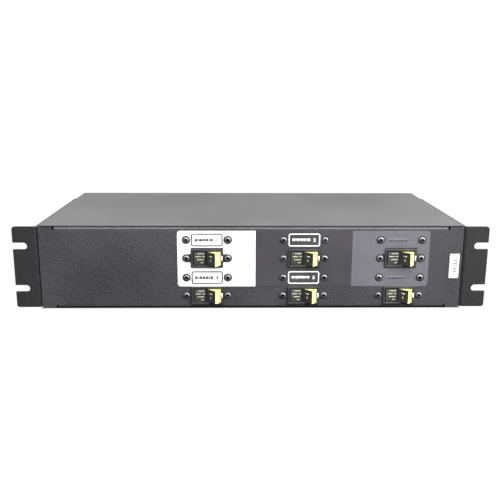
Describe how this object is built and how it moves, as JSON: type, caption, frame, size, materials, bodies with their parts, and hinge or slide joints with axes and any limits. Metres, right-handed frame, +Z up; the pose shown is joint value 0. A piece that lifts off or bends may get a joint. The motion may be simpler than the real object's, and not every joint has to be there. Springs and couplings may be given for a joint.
{
  "type": "rack power distribution unit",
  "caption": "Two-unit rack power strip: sheet-metal case with rack ears, rocker circuit breakers on the front and twin outlets on the rear.",
  "frame": {"origin": "centre of the case underside", "axes": "+X to the right seen from the front, +Y to the rear, +Z up"},
  "size_m": [0.4826, 0.2565, 0.086],
  "materials": {
    "case_paint": "fine textured powder coat",
    "panel_paint": "fine textured powder coat",
    "cover_paint": "fine textured powder coat",
    "ear_paint": "fine textured powder coat",
    "overlay_print": "printed film in white, black and grey",
    "label_paper": "white label",
    "pin_steel": "turned",
    "zinc_steel": "zinc plated",
    "chute_steel": "plated sheet",
    "terminal_copper": "copper alloy",
    "coil_copper": "enamelled winding",
    "earth_sheath": "green sheath",
    "wire_sheath": "black sheath",
    "gland_plastic": "black nylon",
    "seal_rubber": "matte",
    "block_plastic": "moulded",
    "black_screw": "black oxide",
    "breaker_plastic": "moulded",
    "bezel_plastic": "polished moulding",
    "rocker_plastic": "yellow moulding with a black face",
    "arm_plastic": "moulded",
    "outlet_plastic": "moulded"
  },
  "bodies": {
    "chassis": {"base_pan": "case_paint", "front_panel": "panel_paint", "rear_panel": "case_paint", "top_cover": "cover_paint", "left_rack_ear": "ear_paint", "right_rack_ear": "ear_paint", "circuit_overlay": "overlay_print", "asset_label": "label_paper", "breaker_pins": "pin_steel", "line_terminals": "terminal_copper", "load_terminals": "terminal_copper", "trip_coils": "coil_copper", "arc_chutes": "chute_steel", "outlet_contacts": "terminal_copper", "earth_bar": "terminal_copper", "earth_wire": "earth_sheath", "earth_stud": "zinc_steel", "earth_nuts": "zinc_steel", "gland_body": "gland_plastic", "gland_locknut": "gland_plastic", "gland_nut": "gland_plastic", "gland_seal": "seal_rubber", "pole_links": "terminal_copper", "feed_wires": "wire_sheath", "load_wires": "wire_sheath", "terminal_block": "block_plastic", "terminal_block_screws": "zinc_steel", "breaker_screws": "black_screw", "case_screws": "black_screw", "outlet_inserts": "outlet_plastic", "breaker_case_1": "breaker_plastic", "breaker_bezel_1": "bezel_plastic", "twin_outlet_1": "outlet_plastic", "breaker_case_2": "breaker_plastic", "breaker_bezel_2": "bezel_plastic", "twin_outlet_2": "outlet_plastic", "breaker_case_3": "breaker_plastic", "breaker_bezel_3": "bezel_plastic", "twin_outlet_3": "outlet_plastic", "breaker_case_4": "breaker_plastic", "breaker_bezel_4": "bezel_plastic", "twin_outlet_4": "outlet_plastic", "breaker_case_5": "breaker_plastic", "breaker_bezel_5": "bezel_plastic", "twin_outlet_5": "outlet_plastic", "breaker_case_6": "breaker_plastic", "breaker_bezel_6": "bezel_plastic", "twin_outlet_6": "outlet_plastic"},
    "rocker_1": {"rocker_1": "rocker_plastic"},
    "contact_arm_1": {"contact_arm_1": "arm_plastic"},
    "rocker_2": {"rocker_2": "rocker_plastic"},
    "contact_arm_2": {"contact_arm_2": "arm_plastic"},
    "rocker_3": {"rocker_3": "rocker_plastic"},
    "contact_arm_3": {"contact_arm_3": "arm_plastic"},
    "rocker_4": {"rocker_4": "rocker_plastic"},
    "contact_arm_4": {"contact_arm_4": "arm_plastic"},
    "rocker_5": {"rocker_5": "rocker_plastic"},
    "contact_arm_5": {"contact_arm_5": "arm_plastic"},
    "rocker_6": {"rocker_6": "rocker_plastic"},
    "contact_arm_6": {"contact_arm_6": "arm_plastic"}
  },
  "joints": [
    {"name": "rocker_1_tilt", "type": "hinge", "parent": "chassis", "child": "rocker_1", "pos_m": [-0.0457, -0.10524, 0.0527], "axis": [0, 0, 1], "range_deg": [0, 26]},
    {"name": "contact_arm_1_turn", "type": "hinge", "parent": "chassis", "child": "contact_arm_1", "pos_m": [-0.0537, -0.0858, 0.0527], "axis": [0, 0, 1], "range_deg": [0, 15.6]},
    {"name": "rocker_2_tilt", "type": "hinge", "parent": "chassis", "child": "rocker_2", "pos_m": [0.053, -0.10524, 0.0527], "axis": [0, 0, 1], "range_deg": [0, 26]},
    {"name": "contact_arm_2_turn", "type": "hinge", "parent": "chassis", "child": "contact_arm_2", "pos_m": [0.045, -0.0858, 0.0527], "axis": [0, 0, 1], "range_deg": [0, 15.6]},
    {"name": "rocker_3_tilt", "type": "hinge", "parent": "chassis", "child": "rocker_3", "pos_m": [0.1517, -0.10524, 0.0527], "axis": [0, 0, 1], "range_deg": [0, 26]},
    {"name": "contact_arm_3_turn", "type": "hinge", "parent": "chassis", "child": "contact_arm_3", "pos_m": [0.1437, -0.0858, 0.0527], "axis": [0, 0, 1], "range_deg": [0, 15.6]},
    {"name": "rocker_4_tilt", "type": "hinge", "parent": "chassis", "child": "rocker_4", "pos_m": [-0.0457, -0.10524, 0.0133], "axis": [0, 0, 1], "range_deg": [0, 26]},
    {"name": "contact_arm_4_turn", "type": "hinge", "parent": "chassis", "child": "contact_arm_4", "pos_m": [-0.0537, -0.0858, 0.0133], "axis": [0, 0, 1], "range_deg": [0, 15.6]},
    {"name": "rocker_5_tilt", "type": "hinge", "parent": "chassis", "child": "rocker_5", "pos_m": [0.053, -0.10524, 0.0133], "axis": [0, 0, 1], "range_deg": [0, 26]},
    {"name": "contact_arm_5_turn", "type": "hinge", "parent": "chassis", "child": "contact_arm_5", "pos_m": [0.045, -0.0858, 0.0133], "axis": [0, 0, 1], "range_deg": [0, 15.6]},
    {"name": "rocker_6_tilt", "type": "hinge", "parent": "chassis", "child": "rocker_6", "pos_m": [0.1517, -0.10524, 0.0133], "axis": [0, 0, 1], "range_deg": [0, 26]},
    {"name": "contact_arm_6_turn", "type": "hinge", "parent": "chassis", "child": "contact_arm_6", "pos_m": [0.1437, -0.0858, 0.0133], "axis": [0, 0, 1], "range_deg": [0, 15.6]}
  ],
  "couplings": [
    {"joint": "contact_arm_1_turn", "follows": "rocker_1_tilt", "ratio": 0.6},
    {"joint": "contact_arm_2_turn", "follows": "rocker_2_tilt", "ratio": 0.6},
    {"joint": "contact_arm_3_turn", "follows": "rocker_3_tilt", "ratio": 0.6},
    {"joint": "contact_arm_4_turn", "follows": "rocker_4_tilt", "ratio": 0.6},
    {"joint": "contact_arm_5_turn", "follows": "rocker_5_tilt", "ratio": 0.6},
    {"joint": "contact_arm_6_turn", "follows": "rocker_6_tilt", "ratio": 0.6}
  ]
}
